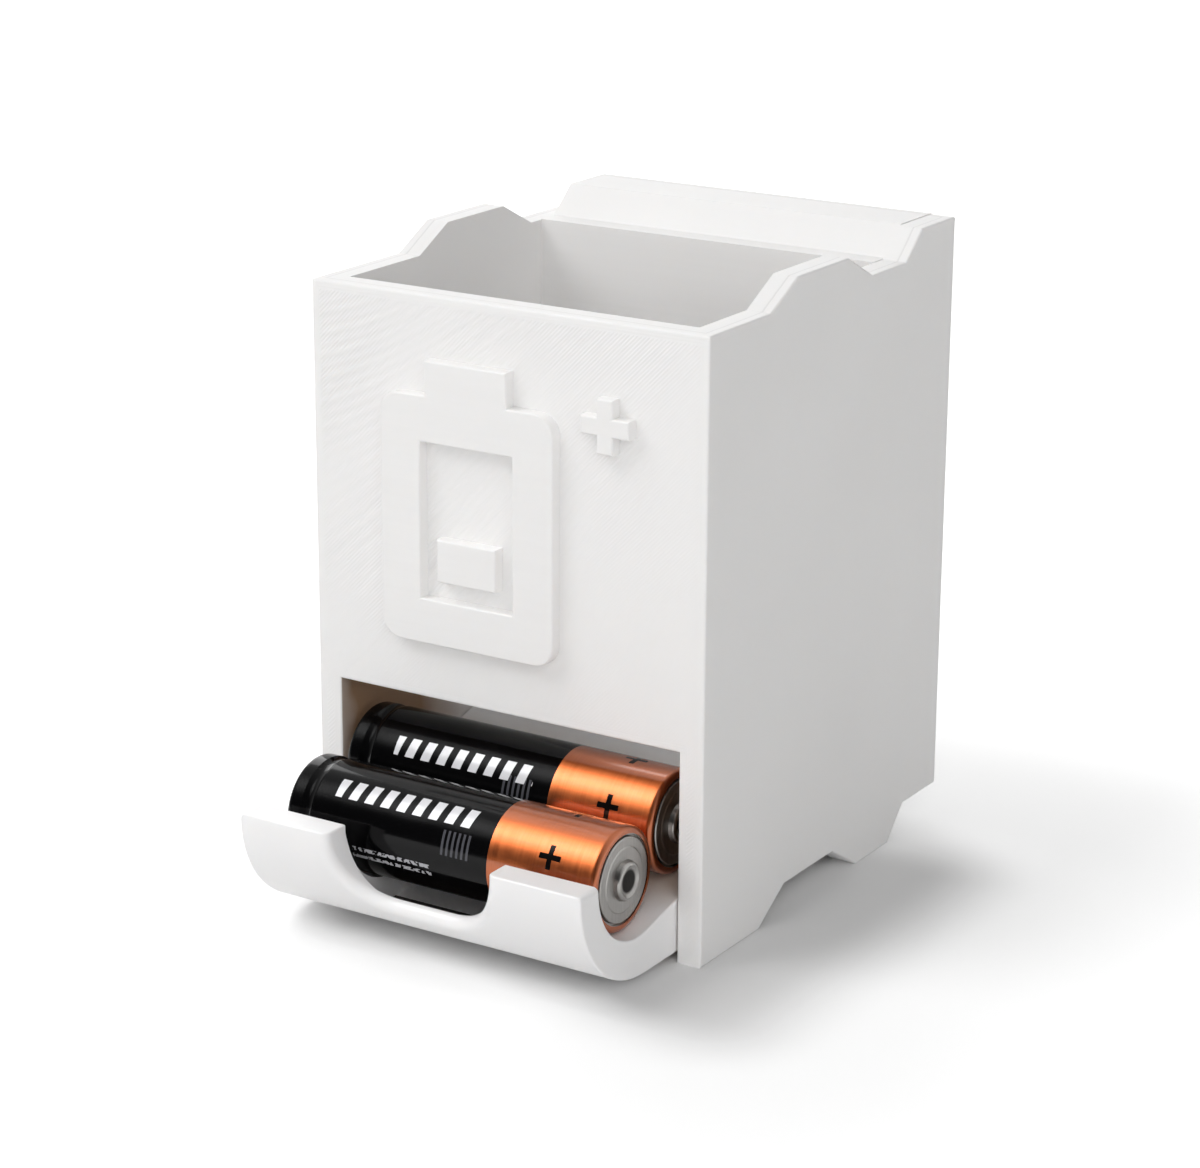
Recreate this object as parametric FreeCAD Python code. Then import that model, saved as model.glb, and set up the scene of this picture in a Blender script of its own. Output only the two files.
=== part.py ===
import FreeCAD, Part
import math
import os

# Battery storage drawer case, in millimetres: a stacking case that is open at the top, a
# drawer whose cup reaches out of the mouth at the foot of the front, and two AA cells.
# +X is right, +Y is back and +Z is up. The shapes are drawn with y = 0 at the case's front
# face, and moved to the part's own origin, the middle of its base, when they are written.

Vector = FreeCAD.Vector

# ---- driving dimensions -------------------------------------------------------------------

# AA cell: the standard outline, with the terminal nub included in the length
cell_length = 50.5
cell_diameter = 14.5
nub_height = 1.05
nub_radius = 2.8
nub_taper = 0.1
nub_round = 0.5
nub_dish = 0.25                # hollow in the nub's face
nub_dish_slope = 0.4
slip = 0.05                    # gap between pieces that are stacked inside the cell
film = 0.12                    # label film
film_fold = 1.05               # how far the film is folded in over each end
shoulder_radius = 0.7          # rounding of the film over both ends of the can
can_wall = 0.25                # drawn steel can
bead_start = 2.2               # groove rolled into the can above the seal
bead_width = 2.0
bead_depth = 0.32
disc_inset = 1.4               # raised middle of the positive end, in from the film
disc_rise = 0.1                # its face past the film
disc_groove = 0.25             # width of the groove around it
disc_groove_depth = 0.35
disc_round = 0.2
disc_step = 0.08               # the middle of its face stands a little higher
disc_step_inset = 1.5
disc_step_slope = 0.2
cover_inset = 1.1              # negative cover, in from the film
cover_thickness = 0.25
cover_skirt = 0.75             # height of its turned-in edge
dish_radius = 4.6              # its shallow dish
dish_depth = 0.2
seal_reach = 2.1               # depth of the seal's rim from the negative end
seal_web = 0.6
seal_relief = 0.35             # chamfer that clears the can's shoulder
hub_wall = 0.8
hub_reach = 1.3                # hub past the web, towards the positive end
hub_back = 0.5                 # and towards the negative end
washer_thickness = 0.5
nail_radius = 0.72
nail_length = 36.0
nail_head_radius = 1.3
nail_head = 0.5
fill_start = 2.6               # from the seal to the cathode, the separator and the gel
cathode_wall = 2.2             # thickness of the cathode rings
cathode_rings = 4
cathode_room = 0.3             # free length at the positive end
paper = 0.2                    # separator

# case
wall = 3.7
panel = 3.7                    # front panel
end_room = 4.1                 # free length beside a cell, both ends together
compartment_depth = 46.8
block_depth = 17.5             # thick back of the case
rim_height = 85.7
edge_round = 0.3               # every outer edge of the case and the drawer

# stepped line of the rim, which the feet repeat so that cases stack
front_land = 15.6
bump_run = 6.9                 # length of the slope up to the bump
bump_length = 13.9
bump_fall = 7.2                # length of the slope down from the bump
bump_rise = 3.6
heel_run = 4.6
heel_length = 10.2
heel_rise = 4.0                # on the right wall and the block; the left wall stays low
left_setback = 4.3             # the left wall's bump is this much further back
stack_clearance = 0.7          # how much higher the arches are than the bumps
block_step_up = 0.12           # the block's top stands off the side walls' line
block_step_back = 0.7

# drawer
side_clearance = 0.2
lift_clearance = 1.95          # front cell to the case's front face
cup_play = 2.55                # cup's radius over the cell's
cup_floor = 7.0
lip_thickness = 4.4
lip_rise = 0.6                 # lip's top above the cup's axis
lip_round = 0.8
belly_wall = 5.6               # outer radius of the cup over its inner radius
underside = 1.35
ramp_angle = math.radians(13.0)
tail_clearance = 0.4
notch_width = 25.4             # finger notch in the lip
notch_floor = 8.3
notch_corner = 8.5
notch_round = 1.2              # rounding of its outer edge
pocket_wall = 2.0              # left in front of and under the room for a fingertip
front_cell_shift = 0.4         # the front cell lies this far to the right
rest_gap = 0.2                 # between a cell and what it lies on
mouth_clearance = 4.75         # rear cell's top to the panel's lower edge

# guide ribs on the side walls, and the grooves that run on them
rib_height = 1.8
rib_depth = 1.5
rib_lift = 0.7                 # rib above the arch
rib_setback = 2.0
rib_stop_short = 4.0
groove_clearance = 0.12
stop_clearance = 0.05

# raised mark on the front panel: a battery outline with a level bar, and a plus sign
relief = 1.8
relief_root = 1.0              # how far the mark is sunk into the panel
mark_width = 27.5
mark_height = 34.5
mark_stroke = 6.4
mark_corner = 3.0
mark_nub_width = 13.0
mark_nub_height = 4.8
mark_bar_height = 6.0
mark_bar_gap = 2.6
mark_offset = -5.0             # middle of the outline from the middle of the panel
plus_size = 7.4
plus_stroke = 2.5
plus_offset = 16.6
plus_drop = 5.1                # plus sign's middle below the top of the mark

# ---- derived sizes ------------------------------------------------------------------------

cell_radius = cell_diameter / 2
can_length = cell_length - nub_height
disc_radius = cell_radius - disc_inset
cover_radius = cell_radius - cover_inset
can_radius = cell_radius - film - slip
can_bore = can_radius - can_wall
cathode_radius = can_bore - slip
separator_radius = cathode_radius - cathode_wall - slip
anode_radius = separator_radius - paper - slip
can_start = film + slip
can_end = can_length - film - slip
fill_limit = can_end - disc_groove_depth - can_wall
seal_back = seal_reach - seal_web
fill_from = seal_reach + fill_start
room_width = cell_length + end_room
case_width = room_width + 2 * wall
block_front = panel + compartment_depth
case_depth = block_front + block_depth

cup_radius = cell_radius + cup_play
cup_y = -(cell_radius + lift_clearance)
cup_z = cup_floor + cup_radius
lip_top = cup_z + lip_rise
lip_front = cup_y - cup_radius - lip_thickness
belly_radius = cup_radius + belly_wall
belly_y = lip_front + belly_radius
belly_z = underside + belly_radius
tail_y = block_front - tail_clearance
tray_width = room_width - 2 * side_clearance

# The front cell lies at the bottom of the cup. The rear cell lies on the ramp, against it.
cell_drop = cup_play - rest_gap
front_cell_y = cup_y
front_cell_z = cup_z - cell_drop
cell_pitch = cell_diameter + rest_gap
ramp_travel = math.sqrt(
    cell_pitch ** 2
    - 2 * cell_drop ** 2 * (1 - math.cos(ramp_angle))
    + (cell_drop * math.sin(ramp_angle)) ** 2
) - cell_drop * math.sin(ramp_angle)
rear_cell_y = cup_y + cell_drop * math.sin(ramp_angle) + ramp_travel * math.cos(ramp_angle)
rear_cell_z = cup_z - cell_drop * math.cos(ramp_angle) + ramp_travel * math.sin(ramp_angle)
mouth_height = rear_cell_z + cell_radius + mouth_clearance

arch_rise = bump_rise + stack_clearance
heel_arch_rise = heel_rise + stack_clearance
rib_bottom = arch_rise + rib_lift
origin_y = (lip_front + case_depth) / 2


# ---- drawing helpers ----------------------------------------------------------------------

def closed_face(place, start, steps):
    """Face inside an outline. A step is a point, or a (middle, end) pair for an arc."""
    edges = []
    here = place(*start)
    for step in steps + [start]:
        if isinstance(step[0], tuple):
            end = place(*step[1])
            edges.append(Part.Arc(here, place(*step[0]), end).toShape())
        else:
            end = place(*step)
            edges.append(Part.LineSegment(here, end).toShape())
        here = end
    return Part.Face(Part.Wire(edges))


def across(width, start, steps):
    """Solid of constant section in the YZ plane, centred on x = 0."""
    face = closed_face(lambda y, z: Vector(-width / 2, y, z), start, steps)
    return face.extrude(Vector(width, 0, 0))


def turned(start, steps):
    """Solid turned about the X axis from an outline of (distance along the axis, radius)."""
    face = closed_face(lambda along, radius: Vector(along, radius, 0), start, steps)
    return face.revolve(Vector(0, 0, 0), Vector(1, 0, 0), 360)


def tube(start, end, inner, outer):
    return turned((start, inner), [(start, outer), (end, outer), (end, inner)])


def rod(start, end, radius):
    return Part.makeCylinder(radius, end - start, Vector(start, 0, 0), Vector(1, 0, 0))


def block(x, y, z):
    """Box from three (low, high) pairs."""
    corner = Vector(x[0], y[0], z[0])
    return Part.makeBox(x[1] - x[0], y[1] - y[0], z[1] - z[0], corner)


def around(centre, radius, degrees):
    """Point on a circle, as a pair."""
    angle = math.radians(degrees)
    return (centre[0] + radius * math.cos(angle), centre[1] + radius * math.sin(angle))


def edges_along(shape, direction):
    """Straight edges that run along a direction."""
    found = []
    for edge in shape.Edges:
        if isinstance(edge.Curve, Part.Line):
            if abs(edge.tangentAt(edge.FirstParameter).dot(direction)) > 0.999:
                found.append(edge)
    return found


def lies_at(edge, axis, place):
    """Whether an edge's ends all have this coordinate."""
    return all(abs(getattr(vertex.Point, axis) - place) < 1e-6 for vertex in edge.Vertexes)


def soften(shape, chosen):
    return shape.makeFillet(edge_round, [edge for edge in shape.Edges if chosen(edge)])


# ---- case ---------------------------------------------------------------------------------

def stepped_line(base, bump, heel, setback):
    """Points of the rim's or the feet's stepped line, from front to back."""
    foot = front_land + setback
    bump_start = foot + bump_run
    bump_end = bump_start + bump_length
    heel_start = case_depth - heel_length
    return [
        (0, base),
        (foot, base),
        (bump_start, base + bump),
        (bump_end, base + bump),
        (bump_end + bump_fall, base),
        (heel_start - heel_run, base),
        (heel_start, base + heel),
        (case_depth, base + heel),
    ]


def side_wall(side, heel, heel_arch, setback):
    """Wall on one side: side is -1 for the left wall and 1 for the right one."""
    feet = stepped_line(0, arch_rise, heel_arch, setback)
    rim = stepped_line(rim_height, bump_rise, heel, setback)
    outline = feet + rim[::-1]
    plate = across(wall, outline[0], outline[1:])
    plate.translate(Vector(side * (room_width + wall) / 2, 0, 0))
    return plate


def back_block():
    heel_top = case_depth - heel_length
    heel_foot = heel_top - heel_run
    top = rim_height + block_step_up
    outline = [
        (block_front, 0),
        (heel_foot, 0),
        (heel_top, heel_arch_rise),
        (case_depth, heel_arch_rise),
        (case_depth, top + heel_rise),
        (heel_top + block_step_back, top + heel_rise),
        (heel_foot + block_step_back, top),
        (block_front, top),
    ]
    return across(room_width, outline[0], outline[1:])


def guide_rib(side):
    """Rib on one side wall: side is -1 for the left wall and 1 for the right one."""
    inner = side * (room_width / 2 - rib_depth)
    outer = side * (room_width / 2 + wall / 2)
    return block(
        (min(inner, outer), max(inner, outer)),
        (rib_setback, block_front - rib_stop_short),
        (rib_bottom, rib_bottom + rib_height),
    )


def raised_bar(middle_x, middle_z, width, height):
    return block(
        (middle_x - width / 2, middle_x + width / 2),
        (-relief, relief_root),
        (middle_z - height / 2, middle_z + height / 2),
    )


def raised_mark():
    """Battery outline with its terminal on top and a level bar inside, and a plus sign."""
    total = mark_height + mark_nub_height
    bottom = (mouth_height + rim_height - total) / 2
    middle = bottom + mark_height / 2
    along_y = Vector(0, 1, 0)
    body = raised_bar(mark_offset, middle, mark_width, mark_height)
    body = body.makeFillet(mark_corner, edges_along(body, along_y))
    window_width = mark_width - 2 * mark_stroke
    window_height = mark_height - 2 * mark_stroke
    window = raised_bar(mark_offset, middle, window_width, window_height)
    bar_middle = middle - window_height / 2 + mark_bar_gap + mark_bar_height / 2
    level = raised_bar(mark_offset, bar_middle, window_width - 2 * mark_bar_gap, mark_bar_height)
    nub_middle = bottom + mark_height + mark_nub_height / 2
    nub = raised_bar(mark_offset, nub_middle, mark_nub_width, mark_nub_height)
    plus_z = bottom + total - plus_drop
    plus = raised_bar(plus_offset, plus_z, plus_size, plus_stroke)
    plus = plus.fuse(raised_bar(plus_offset, plus_z, plus_stroke, plus_size))
    return body.cut(window).multiFuse([level, nub, plus])


def is_outer_case_edge(edge):
    """The outlines of the sides and the back, of the front and its mouth, and the mark's face."""
    if lies_at(edge, "y", -relief) or lies_at(edge, "y", case_depth):
        return True
    if any(lies_at(edge, "x", side * case_width / 2) for side in (-1, 1)):
        return True
    on_outline = lies_at(edge, "z", rim_height) or lies_at(edge, "z", mouth_height)
    on_outline = on_outline or any(lies_at(edge, "x", side * room_width / 2) for side in (-1, 1))
    return on_outline and lies_at(edge, "y", 0)


def case_body():
    front = block((-room_width / 2, room_width / 2), (0, panel), (mouth_height, rim_height))
    ribs = [guide_rib(side) for side in (-1, 1)]
    left = side_wall(-1, 0, 0, left_setback)
    right = side_wall(1, heel_rise, heel_arch_rise, 0)
    body = left.multiFuse([right, front, back_block(), raised_mark()] + ribs).removeSplitter()
    return soften(body, is_outer_case_edge)


# ---- drawer -------------------------------------------------------------------------------

def drawer():
    cup = (cup_y, cup_z)
    belly = (belly_y, belly_z)
    ramp_degrees = math.degrees(ramp_angle)
    ramp_start = around(cup, cup_radius, ramp_degrees - 90)
    tail_height = ramp_start[1] + (tail_y - ramp_start[0]) * math.tan(ramp_angle)
    lip_back = cup_y - cup_radius
    tray = across(tray_width, (lip_front, lip_top), [
        (lip_front, belly[1]),
        (around(belly, belly_radius, 225), (belly[0], underside)),
        (tail_y, underside),
        (tail_y, tail_height),
        ramp_start,
        (around(cup, cup_radius, ramp_degrees / 2 - 135), (lip_back, cup_z)),
        (lip_back, lip_top),
    ])
    lip_ends = [
        edge for edge in edges_along(tray, Vector(0, 1, 0))
        if abs(edge.CenterOfMass.z - lip_top) < 0.01
    ]
    tray = tray.makeFillet(lip_round, lip_ends)
    tray = tray.cut(finger_notch())
    tray = tray.makeFillet(notch_round, [edge for edge in tray.Edges if is_notch_rim(edge)])
    tray = soften(tray, is_outer_drawer_edge)
    return tray.cut(finger_room()).cut(guide_groove(-1)).cut(guide_groove(1))


def finger_notch():
    """Cutter for the notch in the lip, with rounded lower corners."""
    half = notch_width / 2
    start = lip_front - 1
    top = lip_top + 1
    corner_z = notch_floor + notch_corner
    left = (notch_corner - half, corner_z)
    right = (half - notch_corner, corner_z)
    face = closed_face(lambda x, z: Vector(x, start, z), (-half, top), [
        (-half, corner_z),
        (around(left, notch_corner, 225), (left[0], notch_floor)),
        (right[0], notch_floor),
        (around(right, notch_corner, 315), (half, corner_z)),
        (half, top),
    ])
    return face.extrude(Vector(0, cup_y - start, 0))


def finger_room():
    """Hollow behind the notch and under the front cell, which leaves an even wall."""
    half = notch_width / 2
    axis = Vector(-half, belly_y, belly_z)
    bowl = Part.makeCylinder(belly_radius - pocket_wall, notch_width, axis, Vector(1, 0, 0))
    return bowl.common(block((-half, half), (cup_y - cup_radius, tail_y), (underside, cup_z)))


def is_notch_rim(edge):
    """The notch's edge on the outside of the drawer."""
    middle = edge.valueAt((edge.FirstParameter + edge.LastParameter) / 2)
    from_axis = math.hypot(middle.y - belly_y, middle.z - belly_z)
    outside = abs(middle.y - lip_front) < 1e-3 or from_axis > belly_radius - 1e-3
    return outside and middle.z < lip_top - 1e-3 and abs(middle.x) < notch_width / 2 + 1e-3


def is_outer_drawer_edge(edge):
    """The lip's top, and all that doesn't run straight across the drawer."""
    runs_across = lies_at(edge, "y", edge.Vertexes[0].Y) and lies_at(edge, "z", edge.Vertexes[0].Z)
    return lies_at(edge, "z", lip_top) or not runs_across


def guide_groove(side):
    inner = side * (room_width / 2 - rib_depth - groove_clearance)
    outer = side * (room_width / 2 + 1)
    return block(
        (min(inner, outer), max(inner, outer)),
        (rib_setback - stop_clearance, tail_y + 1),
        (rib_bottom - groove_clearance, rib_bottom + rib_height + groove_clearance),
    )


# ---- AA cell ------------------------------------------------------------------------------
# Drawn from the negative end at 0 towards the positive end, about the X axis.

def skin_line(radius, start, end, rounding):
    """Outline of the can or the film: both rounded shoulders, and the bead between them."""
    left = (start + rounding, radius - rounding)
    right = (end - rounding, radius - rounding)
    bead_middle = bead_start + bead_width / 2
    return [
        (start, radius - rounding),
        (around(left, rounding, 135), (left[0], radius)),
        (bead_start, radius),
        ((bead_middle, radius - bead_depth), (bead_start + bead_width, radius)),
        (right[0], radius),
        (around(right, rounding, 45), (end, radius - rounding)),
    ]


def reversed_line(steps):
    """The same outline from its far end back to its start."""
    back = []
    for index in range(len(steps) - 1, 0, -1):
        target = steps[index - 1]
        if isinstance(target[0], tuple):
            target = target[1]
        if isinstance(steps[index][0], tuple):
            back.append((steps[index][0], target))
        else:
            back.append(target)
    return back


def label_film():
    outer = skin_line(cell_radius, 0, can_length, shoulder_radius)
    inner = skin_line(cell_radius - film, film, can_length - film, shoulder_radius - film)
    fold = cell_radius - film_fold
    steps = outer + [(can_length, fold), (can_length - film, fold)]
    steps += [(can_length - film, cell_radius - shoulder_radius)] + reversed_line(inner)
    steps += [(film, fold)]
    return turned((0, fold), steps)


def can():
    rounding = shoulder_radius - film - slip
    crimp = cover_radius + slip
    groove_radius = disc_radius + disc_groove
    rim = can_length + disc_rise
    rim_corner = (rim - disc_round, disc_radius - disc_round)
    crown = rim + disc_step
    crown_radius = disc_radius - disc_step_inset
    neck = nub_radius - nub_taper
    tip = (cell_length - nub_round, neck - nub_round)
    dish = cell_length - nub_dish
    outer = skin_line(can_radius, can_start, can_end, rounding)
    inner = skin_line(can_bore, can_start + can_wall, fill_limit, rounding - can_wall)
    steps = outer + [
        (can_end, groove_radius),
        (can_end - disc_groove_depth, groove_radius),
        (can_end - disc_groove_depth, disc_radius),
        (rim_corner[0], disc_radius),
        (around(rim_corner, disc_round, 45), (rim, rim_corner[1])),
        (rim, crown_radius + disc_step_slope),
        (crown, crown_radius),
        (crown, nub_radius),
        (tip[0], neck),
        (around(tip, nub_round, 45), (cell_length, tip[1])),
        (dish, tip[1] - nub_dish_slope),
        (dish, 0),
        (dish - can_wall, 0),
        (dish - can_wall, tip[1]),
        (crown - can_wall, tip[1]),
        (fill_limit, nub_radius),
        (fill_limit, can_radius - rounding),
    ]
    steps += reversed_line(inner) + [(can_start + can_wall, crimp)]
    return turned((can_start, crimp), steps)


def seal():
    """Nylon disc that closes the can: an outer rim, a thin web and a hub for the nail."""
    outer = can_bore - slip
    start = can_start + can_wall + slip
    rim = cover_radius + slip
    hub = nail_radius + hub_wall
    bore = nail_radius + slip
    hub_end = seal_reach + hub_reach
    hub_start = seal_back - hub_back
    return turned((start, rim), [
        (start + seal_relief, outer), (seal_reach, outer), (seal_reach, hub), (hub_end, hub),
        (hub_end, bore), (hub_start, bore), (hub_start, hub), (seal_back, hub), (seal_back, rim),
    ])


def negative_cover():
    """Steel cap with a shallow dish in its middle and an edge that is turned in."""
    outside = film - slip / 2
    dish = outside + dish_depth
    inside = dish + cover_thickness
    edge = outside + cover_skirt
    slope = dish_radius + dish_depth
    return turned((outside, 0), [
        (outside, dish_radius), (dish, slope), (dish, cover_radius), (edge, cover_radius),
        (edge, cover_radius - cover_thickness), (inside, cover_radius - cover_thickness),
        (inside, slope), (outside + cover_thickness, dish_radius), (outside + cover_thickness, 0),
    ])


def support_washer():
    face = seal_back - slip
    inner = nail_radius + hub_wall + slip
    return tube(face - washer_thickness, face, inner, cover_radius - slip)


def collector_nail():
    """Brass nail: its head touches the cover, and its shank stands in the gel."""
    start = film + cover_thickness + slip
    head = rod(start, start + nail_head, nail_head_radius)
    return head.fuse(rod(start + nail_head, nail_length, nail_radius)).removeSplitter()


def cathode():
    """Pressed rings stacked in the can, as separate solids."""
    pitch = (fill_limit - cathode_room - fill_from) / cathode_rings
    rings = []
    for index in range(cathode_rings):
        start = fill_from + index * pitch
        rings.append(tube(start, start + pitch - slip, separator_radius + slip, cathode_radius))
    return Part.makeCompound(rings)


def separator():
    """Paper tube, closed at the positive end."""
    end = fill_limit - slip
    inner = separator_radius - paper
    return turned((fill_from, inner), [
        (fill_from, separator_radius), (end, separator_radius), (end, 0),
        (end - paper, 0), (end - paper, inner),
    ])


def anode():
    """Zinc gel with the nail's hole in it."""
    gel = rod(fill_from, fill_limit - 2 * slip - paper, anode_radius)
    return gel.cut(rod(fill_from - 1, nail_length + slip, nail_radius + slip))


cell_pieces = {
    "can": can,
    "label_film": label_film,
    "negative_cover": negative_cover,
    "seal": seal,
    "support_washer": support_washer,
    "collector_nail": collector_nail,
    "cathode_rings": cathode,
    "separator": separator,
    "anode_gel": anode,
}


# ---- the whole part -----------------------------------------------------------------------

nodes = {"case_body": case_body(), "drawer_tray": drawer()}
cell_places = {
    "front_cell": Vector(front_cell_shift - cell_length / 2, front_cell_y, front_cell_z),
    "rear_cell": Vector(-cell_length / 2, rear_cell_y, rear_cell_z),
}
for cell, place in cell_places.items():
    for piece, make in cell_pieces.items():
        shape = make()
        shape.translate(place)
        nodes[cell + "_" + piece] = shape

os.makedirs("parts", exist_ok=True)
for node, shape in nodes.items():
    shape.translate(Vector(0, -origin_y, 0))
    shape.exportStep("parts/" + node + ".step")

print("case %.2f x %.2f, heel top %.2f" % (case_width, case_depth, rim_height + heel_rise))
print("origin %.3f behind the front face, mouth %.2f high" % (origin_y, mouth_height))
for cell, place in cell_places.items():
    print("%s y %.3f z %.3f" % (cell, place.y - origin_y, place.z))
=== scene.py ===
"""Finishes, light and camera for the battery storage drawer case: two printed pieces and two AA cells."""
import math

import bmesh
import bpy
from mathutils import Matrix, Vector

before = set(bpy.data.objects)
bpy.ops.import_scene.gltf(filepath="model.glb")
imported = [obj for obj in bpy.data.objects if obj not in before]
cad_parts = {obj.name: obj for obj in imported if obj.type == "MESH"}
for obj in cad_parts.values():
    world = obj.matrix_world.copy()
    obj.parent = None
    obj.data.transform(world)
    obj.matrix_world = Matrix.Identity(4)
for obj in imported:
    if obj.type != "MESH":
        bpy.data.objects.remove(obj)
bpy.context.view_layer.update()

MM = 0.001

# Camera: where it stands round the object, and its lens.
CAMERA_PLACE = Vector((236.355, -373.674, 181.408)) * MM
CAMERA_TURN = 32.211
CAMERA_DOWN = 17.478
CAMERA_ROLL = 0.300
CAMERA_LENS = 100.30

# Sizes the finishes follow, in mm, as the CAD has them.
CASE_HALF = 31.0
ROOM_HALF = 27.3
FRONT_FACE = -22.3
CASE_BACK = 45.7
RIM_TOP = 85.7
MOUTH_TOP = 29.7
TRAY_HALF = 27.1
POCKET_AXIS = (-30.3, 16.75)
POCKET_RADIUS = 13.4
LINE_WIDTH = 0.42
SHELL_BAND = 3 * LINE_WIDTH
LAYER = 0.2
CELL_RADIUS = 7.25
COPPER_START = 8.0
PLUS_AT = 17.3
PLUS_COUNT = 5
PLUS_LONG, PLUS_THIN = 1.65, 0.38
BAR_PITCH = 2.6
BAR_HALF = (0.72, 1.38)
BARS_AT, BARS_REACH = -6.2, 11.4
ROWS_AT, ROWS_REACH = -7.5, 6.4
ROW_HALF = 0.3
ROW_TURNS = (-12.0, -21.0)
HATCH_AT, HATCH_HALF = (2.8, 2.4), (2.4, 1.7)
HATCH_PITCH = 0.8

# The painted brown shade in the mouth rises between these depths behind the front face, and fades between
# these places along y.
MOUTH_SHADE_RISE = (-1.0, 6.0)
MOUTH_SHADE_FADE = (0.0, 12.0)

# Painted black shade fills the finger pocket this far either side of the middle, and is gone from here on.
POCKET_SHADE_TO = (12.5, 15.5)

# The printer's scar on the front: where it lies across its slant, and its middle and half height.
SCAR_SLANT, SCAR_MIDDLE, SCAR_HALF = -57.4, 33.6, 4.0

# The patch of floor that is left as dark as its shadow makes it, in metres.
SHADE_CENTRE = Vector((12, -6, 0)) * MM
SHADE_HALF = Vector((28, 28, 0)) * MM

# Each cell: its axis (y, z), then the angles of its plus signs and of its row of bars,
# turned from the front (-y) up towards the top.
CELLS = {
    "front_cell": ((-31.5, 14.45), 30.6, 50.5),
    "rear_cell": ((-17.163, 17.698), 23.8, 37.0),
}


def colour(hex_text):
    """An sRGB hex colour as linear red, green, blue and full alpha."""
    parts = [int(hex_text[at:at + 2], 16) / 255 for at in (1, 3, 5)]
    return [p / 12.92 if p <= 0.04045 else ((p + 0.055) / 1.055) ** 2.4 for p in parts] + [1.0]


def add(tree, kind, links=(), out=0, **settings):
    """Adds one shader node: settings are its own, links go to its inputs by order or by name."""
    made = tree.nodes.new("ShaderNode" + kind)
    for name, value in settings.items():
        setattr(made, name, value)
    pairs = links.items() if isinstance(links, dict) else enumerate(links)
    for name, value in pairs:
        if isinstance(value, bpy.types.NodeSocket):
            tree.links.new(value, made.inputs[name])
        elif value is not None:
            made.inputs[name].default_value = value
    return made if out is None else made.outputs[out]


def finish(name, look):
    """A material whose look function gives the Principled shader's inputs."""
    made = bpy.data.materials.new(name)
    made.use_nodes = True
    tree = made.node_tree
    tree.nodes.clear()
    shader = add(tree, "BsdfPrincipled", look(tree))
    add(tree, "OutputMaterial", {"Surface": shader}, out=None)
    return made


def paint(node_name, made):
    """Puts a material in every slot of a CAD node."""
    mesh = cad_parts[node_name].data
    if not mesh.materials:
        mesh.materials.append(made)
    for at in range(len(mesh.materials)):
        mesh.materials[at] = made


def place_mm(tree, centre=(0.0, 0.0, 0.0)):
    """Object coordinates in millimetres, measured from a centre."""
    here = add(tree, "TexCoord", out="Object")
    moved = add(tree, "Mapping", [here, [-c for c in centre], None, [1 / MM] * 3])
    return add(tree, "SeparateXYZ", [moved], out=None).outputs


def cloud(tree, size_mm, detail=2.0):
    """Soft noise whose blotches measure size_mm along x, y and z."""
    here = add(tree, "TexCoord", out="Object")
    sized = add(tree, "Mapping", {"Vector": here, "Scale": [1 / (s * MM) for s in size_mm]})
    return add(tree, "TexNoise", {"Vector": sized, "Scale": 1.0, "Detail": detail})


def ridges(tree, value, pitch):
    """Ridges and hollows, from -1 to 1, one ridge every pitch."""
    turns = add(tree, "Math", [value, 2 * math.pi / pitch], operation="MULTIPLY")
    return add(tree, "Math", [turns], operation="COSINE")


def painted_mouth_shade(tree, across, y, z, half):
    """How much painted brown shade covers the plastic just inside the mouth: 0 outside the mouth, 1 just
    inside it.
    """
    patchy = cloud(tree, (9, 9, 9), 2.0)
    depth = add(tree, "Math", [patchy, 6.0, y], operation="MULTIPLY_ADD")
    inside = add(tree, "MapRange", [depth, *(FRONT_FACE + d for d in MOUTH_SHADE_RISE), 0.0, 1.0])
    fading = add(tree, "MapRange", [depth, *MOUTH_SHADE_FADE, 1.0, 0.0])
    under = add(tree, "Math", [z, MOUTH_TOP + 0.05], operation="LESS_THAN")
    between = add(tree, "Math", [across, half], operation="LESS_THAN")
    inside = add(tree, "Math", [inside, fading], operation="MULTIPLY")
    inside = add(tree, "Math", [inside, under], operation="MULTIPLY")
    return add(tree, "Math", [inside, between], operation="MULTIPLY")
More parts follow.
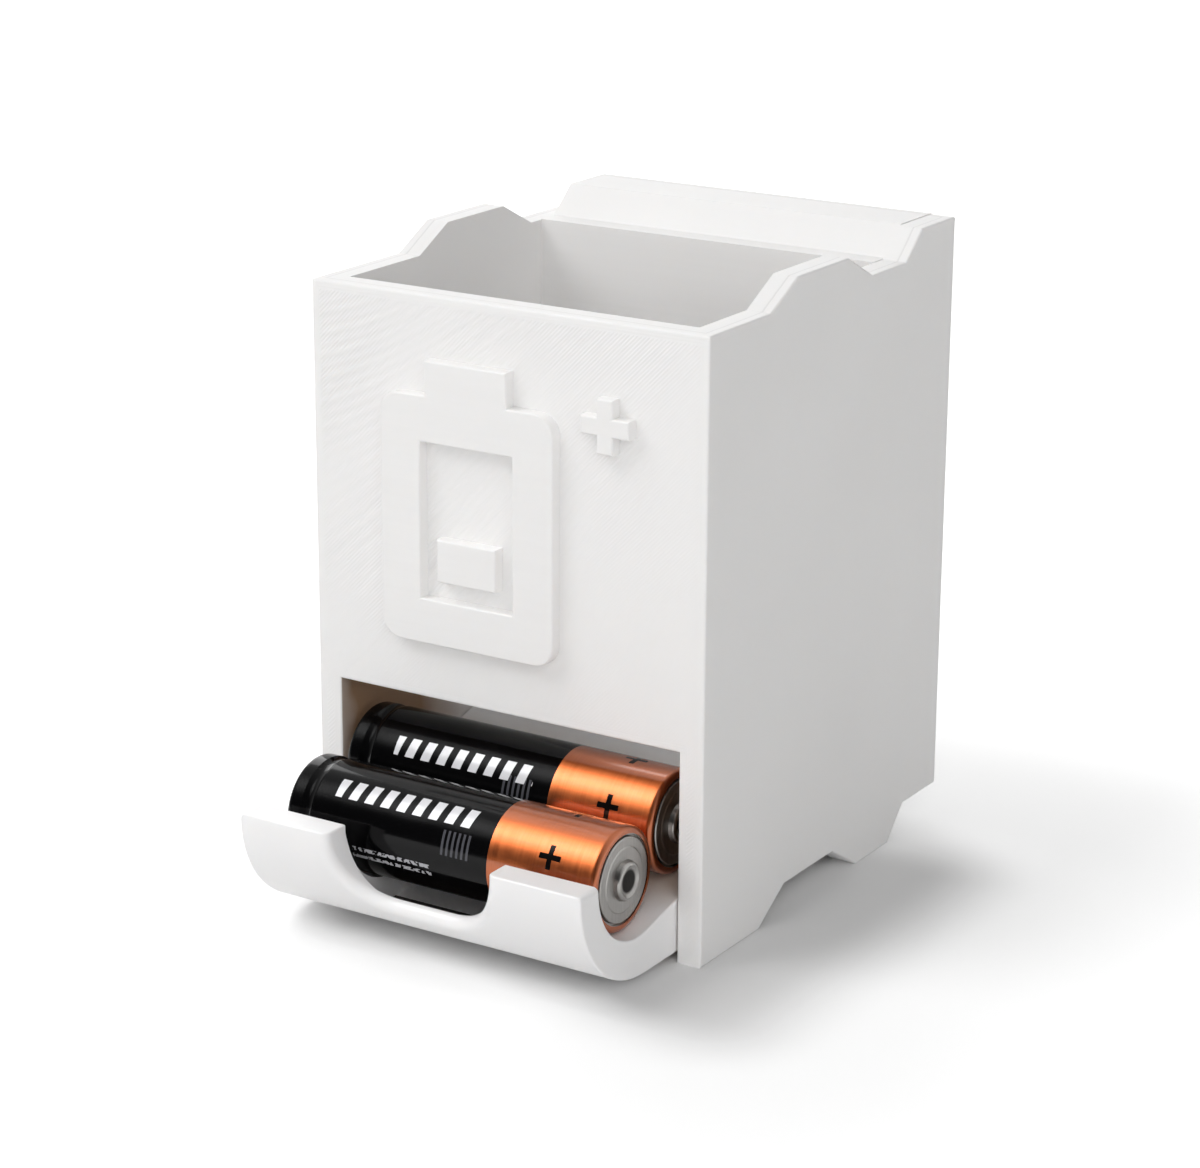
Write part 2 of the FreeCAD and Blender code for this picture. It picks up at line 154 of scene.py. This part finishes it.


# White PLA, printed on its back: the eye gets slanting fill lines that fade across the front,
# a smooth band of wall lines round its edges, a fine seam along each rim with painted shade in its groove,
# faint strokes on the walls inside, very soft cloudiness on the sides and painted brown shade inside the
# mouth.
def printed_case(tree):
    x, y, z = place_mm(tree)
    normal = add(tree, "SeparateXYZ", [add(tree, "TexCoord", out="Normal")], out=None).outputs
    across = add(tree, "Math", [x], operation="ABSOLUTE")
    on_front = add(tree, "Math", [y, FRONT_FACE, 0.1], operation="COMPARE")
    facing_up = add(tree, "Math", [normal[2], 0.35], operation="GREATER_THAN")
    facing_y = add(tree, "Math", [normal[1], -0.7], operation="LESS_THAN")
    broad = cloud(tree, (26, 26, 26), 1.0)
    fine = cloud(tree, (2.2, 2.2, 2.2), 3.0)

    from_side = add(tree, "Math", [CASE_HALF, across], operation="SUBTRACT")
    from_top = add(tree, "Math", [RIM_TOP, z], operation="SUBTRACT")
    from_room = add(tree, "Math", [across, ROOM_HALF], operation="SUBTRACT")
    over_mouth = add(tree, "Math", [z, MOUTH_TOP], operation="SUBTRACT")
    from_mouth = add(tree, "Math", [from_room, over_mouth], operation="MAXIMUM")
    inward = add(tree, "Math", [from_side, from_top], operation="MINIMUM")
    inward = add(tree, "Math", [inward, from_mouth], operation="MINIMUM")

    slant = add(tree, "Math", [x, z], operation="SUBTRACT")
    fill = ridges(tree, slant, LINE_WIDTH * math.sqrt(2))
    high_left = add(tree, "MapRange", [slant, -35.0, -112.0, 0.6, 1.7])
    patchy = add(tree, "MapRange", [broad, 0.36, 0.62, 0.25, 1.0])
    fill_depth = add(tree, "Math", [high_left, patchy], operation="MULTIPLY")
    fill = add(tree, "Math", [fill, fill_depth], operation="MULTIPLY")
    wall = ridges(tree, inward, LINE_WIDTH)
    wall = add(tree, "Math", [wall, 0.25], operation="MULTIPLY")
    in_wall = add(tree, "Math", [inward, SHELL_BAND], operation="LESS_THAN")
    front_lines = add(tree, "Mix", {0: in_wall, 2: fill, 3: wall}, data_type="FLOAT")
    scar = add(tree, "Math", [slant, SCAR_SLANT, 0.14], operation="COMPARE")
    scar_reach = add(tree, "Math", [z, SCAR_MIDDLE, SCAR_HALF], operation="COMPARE")
    scar = add(tree, "Math", [scar, scar_reach], operation="MULTIPLY")
    front_lines = add(tree, "Math", [scar, 1.6, front_lines], operation="MULTIPLY_ADD")
    front_lines = add(tree, "Math", [front_lines, on_front], operation="MULTIPLY")

    from_front = add(tree, "Math", [y, FRONT_FACE], operation="SUBTRACT")
    from_back = add(tree, "Math", [CASE_BACK, y], operation="SUBTRACT")
    rim_in = add(tree, "Math", [from_front, from_back], operation="MINIMUM")
    rim_in = add(tree, "Math", [rim_in, from_side], operation="MINIMUM")
    seam_at = add(tree, "Math", [fine, 0.25, SHELL_BAND], operation="MULTIPLY_ADD")
    seam_and_painted_shade = add(tree, "Math", [rim_in, seam_at, 0.13], operation="COMPARE")
    seam_and_painted_shade = add(tree, "Math", [seam_and_painted_shade, facing_up], operation="MULTIPLY")

    strokes = cloud(tree, (34, 60, 0.9), 2.0)
    strokes = add(tree, "Math", [strokes, facing_y], operation="MULTIPLY")
    off_front = add(tree, "Math", [1.0, on_front], operation="SUBTRACT")
    strokes = add(tree, "Math", [strokes, off_front], operation="MULTIPLY")
    layers = cloud(tree, (80, 4 * LAYER, 80), 1.0)

    height = add(tree, "Math", [fine, 0.9, front_lines], operation="MULTIPLY_ADD")
    height = add(tree, "Math", [strokes, 0.8, height], operation="MULTIPLY_ADD")
    height = add(tree, "Math", [layers, 0.5, height], operation="MULTIPLY_ADD")
    height = add(tree, "Math", [seam_and_painted_shade, -2.0, height], operation="MULTIPLY_ADD")
    bump = add(tree, "Bump", {"Height": height, "Distance": 0.02 * MM, "Strength": 1.0})
    tone = add(tree, "Mix", {0: strokes, 2: broad, 3: 0.0}, data_type="FLOAT")
    white = add(tree, "Mix", {0: tone, 6: colour("#F0EFEE"), 7: colour("#F6F5F4")}, out=2, data_type="RGBA")
    # Painted shade: the seam's groove along the rims is drawn a little darker, as shade falls in it.
    white = add(tree, "Mix", {0: seam_and_painted_shade, 6: white, 7: colour("#E8E7E6")}, out=2, data_type="RGBA")
    # Painted shade: the inside of the mouth is browned where shadow falls and the copper bounces warm light.
    painted_shade = painted_mouth_shade(tree, across, y, z, ROOM_HALF + 0.05)
    white = add(tree, "Mix", {0: painted_shade, 6: white, 7: colour("#96785E")}, out=2, data_type="RGBA")
    return {"Base Color": white, "Roughness": 0.58, "IOR": 1.46, "Normal": bump, "Subsurface Weight": 0.2,
            "Subsurface Radius": (1.0, 0.9, 0.8), "Subsurface Scale": 0.8 * MM}


# The same PLA printed slowly and rubbed down, its white drawn a little lighter than the case's as painted
# light:
# smooth and a little waxy, with soft cloudiness, hardly any layer lines, a few fine rubs on the outside,
# faint painted brown shade where the cells roll, and painted black shade on the round floor of the pocket
# under the front cell.
def printed_drawer(tree):
    x, y, z = place_mm(tree)
    across = add(tree, "Math", [x], operation="ABSOLUTE")
    broad = cloud(tree, (14, 14, 14), 2.0)
    fine = cloud(tree, (3.0, 3.0, 3.0), 2.0)
    rubs = cloud(tree, (9.0, 5.0, 0.35), 2.0)
    layers = cloud(tree, (90, 90, 2 * LAYER), 1.0)
    height = add(tree, "Math", [rubs, 0.25, fine], operation="MULTIPLY_ADD")
    height = add(tree, "Math", [layers, 0.25, height], operation="MULTIPLY_ADD")
    bump = add(tree, "Bump", {"Height": height, "Distance": 0.02 * MM, "Strength": 1.0})
    # Painted light: the drawer's white is set a little lighter than the case's, standing in for more light on
    # its front.
    white = add(tree, "Mix", {0: broad, 6: colour("#F7F6F6"), 7: colour("#FBFAFA")}, out=2, data_type="RGBA")
    # Painted shade: a faint brown on the drawer inside the mouth, where shadow falls.
    painted_shade = painted_mouth_shade(tree, across, y, z, TRAY_HALF - 0.1)
    white = add(tree, "Mix", {0: painted_shade, 6: white, 7: colour("#D9CCC0")}, out=2, data_type="RGBA")
    from_y = add(tree, "Math", [y, POCKET_AXIS[0]], operation="SUBTRACT")
    from_z = add(tree, "Math", [z, POCKET_AXIS[1]], operation="SUBTRACT")
    flat = add(tree, "CombineXYZ", [0.0, from_y, from_z])
    reach = add(tree, "VectorMath", [flat], out="Value", operation="LENGTH")
    outward = add(tree, "VectorMath", [flat], operation="NORMALIZE")
    facing = add(tree, "TexCoord", out="Normal")
    turned = add(tree, "VectorMath", [outward, facing], out="Value", operation="DOT_PRODUCT")
    inner = add(tree, "Math", [turned, -0.7], operation="LESS_THAN")
    below = add(tree, "Math", [reach, POCKET_RADIUS + 0.2], operation="LESS_THAN")
    forward = add(tree, "Math", [y, POCKET_AXIS[0]], operation="LESS_THAN")
    # Painted shade: the pocket's round floor under the front cell is drawn dark brown-black, where deep
    # shadow falls.
    painted_pocket_shade = add(tree, "MapRange", [across, *POCKET_SHADE_TO, 1.0, 0.0], interpolation_type="SMOOTHSTEP")
    for part in (inner, below, forward):
        painted_pocket_shade = add(tree, "Math", [painted_pocket_shade, part], operation="MULTIPLY")
    white = add(tree, "Mix", {0: painted_pocket_shade, 6: white, 7: colour("#453E39")}, out=2, data_type="RGBA")
    rough = add(tree, "MapRange", [rubs, 0.3, 0.7, 0.42, 0.52])
    return {"Base Color": white, "Roughness": rough, "IOR": 1.46, "Normal": bump, "Subsurface Weight": 0.2,
            "Subsurface Radius": (1.0, 0.9, 0.8), "Subsurface Scale": 0.8 * MM}


# Shrunk label film over the can: glossy black with plain white print at one end, bare copper
# foil with black plus signs at the other. The foil is drawn with fine scratches that run round
# the cell and a few that stray, so its highlight breaks up along them.
def label_look(axis, plus_turn, bars_turn):
    def look(tree):
        x, y, z = place_mm(tree, (0.0, *axis))
        forward = add(tree, "Math", [y, -1.0], operation="MULTIPLY")
        angle = add(tree, "Math", [z, forward], operation="ARCTAN2")
        round_mm = add(tree, "Math", [angle, CELL_RADIUS], operation="MULTIPLY")
        copper = add(tree, "Math", [x, COPPER_START], operation="GREATER_THAN")

        plus_pitch = 2 * math.pi * CELL_RADIUS / PLUS_COUNT
        plus_place = math.radians(plus_turn) * CELL_RADIUS
        folded = add(tree, "Math", [round_mm, plus_place + plus_pitch / 2, plus_place - plus_pitch / 2],
                     operation="WRAP")
        arms = []
        for half_long, half_round in ((PLUS_LONG, PLUS_THIN), (PLUS_THIN, PLUS_LONG)):
            along = add(tree, "Math", [x, PLUS_AT, half_long], operation="COMPARE")
            around = add(tree, "Math", [folded, plus_place, half_round], operation="COMPARE")
            arms.append(add(tree, "Math", [along, around], operation="MULTIPLY"))
        plus = add(tree, "Math", arms, operation="MAXIMUM")

        bars_place = math.radians(bars_turn) * CELL_RADIUS
        leaning = add(tree, "Math", [round_mm, -0.18, x], operation="MULTIPLY_ADD")
        spaced = add(tree, "Math", [leaning, BAR_PITCH / 2, -BAR_PITCH / 2], operation="WRAP")
        bars = add(tree, "Math", [spaced, 0.0, BAR_HALF[0]], operation="COMPARE")
        bars_reach = add(tree, "Math", [x, BARS_AT, BARS_REACH], operation="COMPARE")
        bars_height = add(tree, "Math", [round_mm, bars_place, BAR_HALF[1]], operation="COMPARE")
        bars = add(tree, "Math", [bars, bars_reach], operation="MULTIPLY")
        bars = add(tree, "Math", [bars, bars_height], operation="MULTIPLY")

        unrolled = add(tree, "CombineXYZ", [x, round_mm, 0.0])
        words = add(tree, "TexNoise", {"Vector": unrolled, "Scale": 1.6, "Detail": 1.0})
        words = add(tree, "Math", [words, 0.48], operation="GREATER_THAN")
        row_reach = add(tree, "Math", [x, ROWS_AT, ROWS_REACH], operation="COMPARE")
        rows = []
        for turn in ROW_TURNS:
            place = math.radians(turn) * CELL_RADIUS
            rows.append(add(tree, "Math", [round_mm, place, ROW_HALF], operation="COMPARE"))
        rows = add(tree, "Math", rows, operation="MAXIMUM")
        rows = add(tree, "Math", [rows, row_reach], operation="MULTIPLY")
        rows = add(tree, "Math", [rows, words], operation="MULTIPLY")

        hatch = ridges(tree, x, HATCH_PITCH)
        hatch = add(tree, "Math", [hatch, 0.1], operation="GREATER_THAN")
        block_reach = add(tree, "Math", [x, HATCH_AT[0], HATCH_HALF[0]], operation="COMPARE")
        block_height = add(tree, "Math", [round_mm, HATCH_AT[1], HATCH_HALF[1]], operation="COMPARE")
        hatch = add(tree, "Math", [hatch, block_reach], operation="MULTIPLY")
        hatch = add(tree, "Math", [hatch, block_height], operation="MULTIPLY")

        black, grey = colour("#060607"), colour("#505055")
        ink = add(tree, "Mix", {0: hatch, 6: black, 7: grey}, out=2, data_type="RGBA")
        ink = add(tree, "Mix", {0: rows, 6: ink, 7: colour("#B4B4B8")}, out=2, data_type="RGBA")
        ink = add(tree, "Mix", {0: bars, 6: ink, 7: colour("#E6E6E9")}, out=2, data_type="RGBA")

        scratch = cloud(tree, (0.22, 7.0, 7.0), 3.0)
        stray = cloud(tree, (1.2, 0.4, 1.6), 2.0)
        worn = add(tree, "Math", [stray, 0.35, scratch], operation="MULTIPLY_ADD")
        dark_foil, light_foil = colour("#A9552B"), colour("#C06A3B")
        foil = add(tree, "Mix", {0: scratch, 6: dark_foil, 7: light_foil}, out=2, data_type="RGBA")
        foil = add(tree, "Mix", {0: plus, 6: foil, 7: colour("#0E0B0A")}, out=2, data_type="RGBA")
        skin = add(tree, "Mix", {0: copper, 6: ink, 7: foil}, out=2, data_type="RGBA")
        bare = add(tree, "Math", [copper, plus], operation="SUBTRACT", use_clamp=True)
        varnish = add(tree, "Mix", {0: bare, 2: 0.05, 3: 1.0}, data_type="FLOAT")
        foil_rough = add(tree, "MapRange", [worn, 0.4, 0.85, 0.3, 0.42])
        film_rough = add(tree, "MapRange", [cloud(tree, (6, 6, 6), 2.0), 0.3, 0.7, 0.1, 0.16])
        rough = add(tree, "Mix", {0: bare, 2: film_rough, 3: foil_rough}, data_type="FLOAT")
        drawn = add(tree, "Math", [worn, bare], operation="MULTIPLY")
        ripple = cloud(tree, (5.0, 3.0, 3.0), 1.0)
        height = add(tree, "Math", [ripple, 1.2, drawn], operation="MULTIPLY_ADD")
        bump = add(tree, "Bump", {"Height": height, "Distance": 0.0025 * MM, "Strength": 1.0})
        return {"Base Color": skin, "Metallic": bare, "Roughness": rough, "Normal": bump, "IOR": 1.25,
                "Coat Weight": varnish, "Coat Roughness": 0.12}
    return look


# Nickel plated steel, drawn and then brushed: grey, with fine turned rings on the ends and
# straight brush marks over them, and painted shade darkening the dish of the positive end.
def nickel_look(axis):
    def look(tree):
        x, y, z = place_mm(tree, (0.0, *axis))
        out = add(tree, "VectorMath", [add(tree, "CombineXYZ", [0.0, y, z])], out="Value", operation="LENGTH")
        outward = add(tree, "CombineXYZ", [out, 0.0, 0.0])
        rings = add(tree, "TexNoise", {"Vector": outward, "Scale": 4.0, "Detail": 3.0})
        brushed = cloud(tree, (6.0, 0.15, 6.0), 3.0)
        marks = add(tree, "Math", [brushed, 0.7, rings], operation="MULTIPLY_ADD")
        dark, light = colour("#94928F"), colour("#BDBBB8")
        grey = add(tree, "Mix", {0: brushed, 6: dark, 7: light}, out=2, data_type="RGBA")
        in_dish = add(tree, "MapRange", [out, 1.9, 1.35, 0.0, 1.0], interpolation_type="SMOOTHSTEP")
        at_plus = add(tree, "Math", [x, 0.0], operation="GREATER_THAN")
        # Painted shade: the dish in the middle of the positive end is drawn dark, where shadow falls in it.
        painted_dish_shade = add(tree, "Math", [in_dish, at_plus], operation="MULTIPLY")
        grey = add(tree, "Mix", {0: painted_dish_shade, 6: grey, 7: colour("#171412")}, out=2, data_type="RGBA")
        rough = add(tree, "MapRange", [marks, 0.5, 1.2, 0.26, 0.4])
        bump = add(tree, "Bump", {"Height": marks, "Distance": 0.012 * MM, "Strength": 1.0})
        return {"Base Color": grey, "Metallic": 1.0, "Roughness": rough, "Normal": bump}
    return look


def grained_look(hex_low, hex_high, grain_mm, depth_mm, roughness, metallic=0.0):
    """A finish with one grain, which shades its colour and lifts its surface."""
    def look(tree):
        grain = cloud(tree, grain_mm, 3.0)
        shade = add(tree, "Mix", {0: grain, 6: colour(hex_low), 7: colour(hex_high)}, out=2, data_type="RGBA")
        bump = add(tree, "Bump", {"Height": grain, "Distance": depth_mm * MM, "Strength": 1.0})
        return {"Base Color": shade, "Roughness": roughness, "Metallic": metallic, "Normal": bump}
    return look


paint("case_body", finish("white_pla_printed", printed_case))
paint("drawer_tray", finish("white_pla_printed_smooth", printed_drawer))
# Nylon: milky, with a soft moulded skin.
nylon = finish("nylon_moulded", grained_look("#DCD8CC", "#E8E4DA", (1.5, 1.5, 1.5), 0.01, 0.45))
# Brass wire: drawn lengthwise, so it shows long fine streaks.
brass = finish("brass_drawn_wire", grained_look("#B8903F", "#D0AA55", (6.0, 0.12, 0.12), 0.006, 0.28, 1.0))
# Cathode powder: near black and dull, with pressed grains.
powder = finish("cathode_powder_pressed", grained_look("#181717", "#2E2C2B", (0.18, 0.18, 0.18), 0.03, 0.85))
# Paper: dry and fibrous, with fibres that lie along the cell.
paper = finish("separator_paper_laid", grained_look("#E0DACB", "#F0ECE1", (1.6, 0.2, 0.2), 0.02, 0.9))
# Zinc gel: a wet grey paste full of metal grains.
gel = finish("zinc_gel_paste", grained_look("#7C8085", "#A9ACAF", (0.3, 0.3, 0.3), 0.04, 0.3))
for cell, (axis, plus_turn, bars_turn) in CELLS.items():
    nickel = finish(cell + "_nickel_steel_brushed", nickel_look(axis))
    paint(cell + "_label_film", finish(cell + "_label_film_printed", label_look(axis, plus_turn, bars_turn)))
    for piece in ("can", "negative_cover", "support_washer"):
        paint(f"{cell}_{piece}", nickel)
    paint(cell + "_seal", nylon)
    paint(cell + "_collector_nail", brass)
    paint(cell + "_cathode_rings", powder)
    paint(cell + "_separator", paper)
    paint(cell + "_anode_gel", gel)


# Paper floor: white further out, where the light on it has faded, and left alone close to the
# case so the shadow that touches it stays deep.
def stage_floor():
    form = bmesh.new()
    bmesh.ops.create_grid(form, x_segments=1, y_segments=1, size=3.0)
    mesh = bpy.data.meshes.new("floor")
    form.to_mesh(mesh)
    form.free()
    floor = bpy.data.objects.new("floor", mesh)
    bpy.context.scene.collection.objects.link(floor)
    made = bpy.data.materials.new("paper_floor")
    made.use_nodes = True
    tree = made.node_tree
    tree.nodes.clear()
    here = add(tree, "TexCoord", out="Object")
    spread = add(tree, "VectorMath", [here, SHADE_CENTRE], operation="SUBTRACT")
    spread = add(tree, "VectorMath", [spread], operation="ABSOLUTE")
    spread = add(tree, "VectorMath", [spread, SHADE_HALF], operation="SUBTRACT")
    spread = add(tree, "VectorMath", [spread, (0.0, 0.0, 0.0)], operation="MAXIMUM")
    away = add(tree, "VectorMath", [spread], out="Value", operation="LENGTH")
    near = add(tree, "MapRange", [away, 0.0, 0.018, 0.0, 0.34], interpolation_type="SMOOTHSTEP")
    far = add(tree, "MapRange", [away, 0.01, 0.13, 0.0, 0.4], interpolation_type="SMOOTHSTEP")
    glow = add(tree, "Math", [near, far], operation="ADD")
    rays = add(tree, "LightPath", out=None).outputs
    seen = add(tree, "Math", [rays["Is Camera Ray"], rays["Is Glossy Ray"]], operation="MAXIMUM")
    seen = add(tree, "Math", [seen, rays["Is Transmission Ray"]], operation="MAXIMUM")
    glow = add(tree, "Math", [glow, seen], operation="MULTIPLY")
    shader = add(tree, "BsdfPrincipled", {"Base Color": colour("#EDEDED"), "Roughness": 1.0,
                                         "Specular IOR Level": 0.0, "Emission Color": (1, 1, 1, 1),
                                         "Emission Strength": glow})
    add(tree, "OutputMaterial", {"Surface": shader}, out=None)
    mesh.materials.append(made)


# Studio: an even, dim room, white wherever it is seen, and in reflections white behind and
# dark towards the front.
def studio_world():
    world = bpy.data.worlds.new("studio")
    bpy.context.scene.world = world
    world.use_nodes = True
    tree = world.node_tree
    tree.nodes.clear()
    toward = add(tree, "SeparateXYZ", [add(tree, "TexCoord", out="Generated")], out=None).outputs
    mirrored = add(tree, "MapRange", [toward[1], -0.7, 0.4, 0.05, 1.0])
    rays = add(tree, "LightPath", out=None).outputs
    seen = add(tree, "Math", [rays["Is Camera Ray"], rays["Is Transmission Ray"]], operation="MAXIMUM")
    shade = add(tree, "Mix", {0: rays["Is Glossy Ray"], 2: 0.2, 3: mirrored}, data_type="FLOAT")
    shade = add(tree, "Mix", {0: seen, 2: shade, 3: 1.0}, data_type="FLOAT")
    add(tree, "OutputWorld", {"Surface": add(tree, "Background", [shade, 1.0])}, out=None)


def softbox(name, toward, distance, width, height, power, lights=True, shines=True):
    """A soft lamp that faces the object: it lights surfaces, shines in glossy ones, or both."""
    lamp = bpy.data.lights.new(name, "AREA")
    lamp.shape = "RECTANGLE"
    lamp.size, lamp.size_y = width, height
    lamp.energy = power
    made = bpy.data.objects.new(name, lamp)
    bpy.context.scene.collection.objects.link(made)
    made.visible_diffuse, made.visible_glossy = lights, shines
    aim = Vector(toward).normalized()
    rise = Vector((0.0, 0.877, 0.48))
    across = rise.cross(aim).normalized()
    rise = aim.cross(across)
    turn = Matrix((across, rise, aim)).transposed().to_4x4()
    made.matrix_world = Matrix.Translation(aim * distance + Vector((0, 0, 40 * MM))) @ turn


def stage_camera():
    """The camera at its place, turned, tipped down and rolled."""
    lens = bpy.data.cameras.new("camera")
    lens.sensor_width = 36
    lens.lens = CAMERA_LENS
    lens.clip_start = 0.01
    made = bpy.data.objects.new("camera", lens)
    bpy.context.scene.collection.objects.link(made)
    turn = (Matrix.Rotation(math.radians(CAMERA_TURN), 4, "Z")
            @ Matrix.Rotation(math.radians(90 - CAMERA_DOWN), 4, "X")
            @ Matrix.Rotation(math.radians(CAMERA_ROLL), 4, "Z"))
    made.matrix_world = Matrix.Translation(CAMERA_PLACE) @ turn
    bpy.context.scene.camera = made


stage_floor()
studio_world()
stage_camera()
# The key is two lamps from one side: a large one that lights softly, and a small one that
# draws a narrow highlight on film and foil. The front lamps would grey the black film, so
# they only light.
softbox("key", (-0.49, -0.42, 0.765), 1.8, 1.0, 1.0, 14.4, shines=False)
softbox("key_sheen", (-0.49, -0.42, 0.765), 1.8, 0.38, 0.74, 34.0, lights=False)
softbox("back_left", (-0.58, 0.62, 0.52), 1.6, 1.0, 1.0, 8.6)
softbox("front_right", (0.6, -0.66, 0.46), 1.8, 1.4, 1.4, 12.6, shines=False)
softbox("low_front", (-0.15, -0.98, 0.12), 1.8, 1.2, 0.5, 3.2, shines=False)
bpy.context.scene.view_settings.view_transform = "Standard"
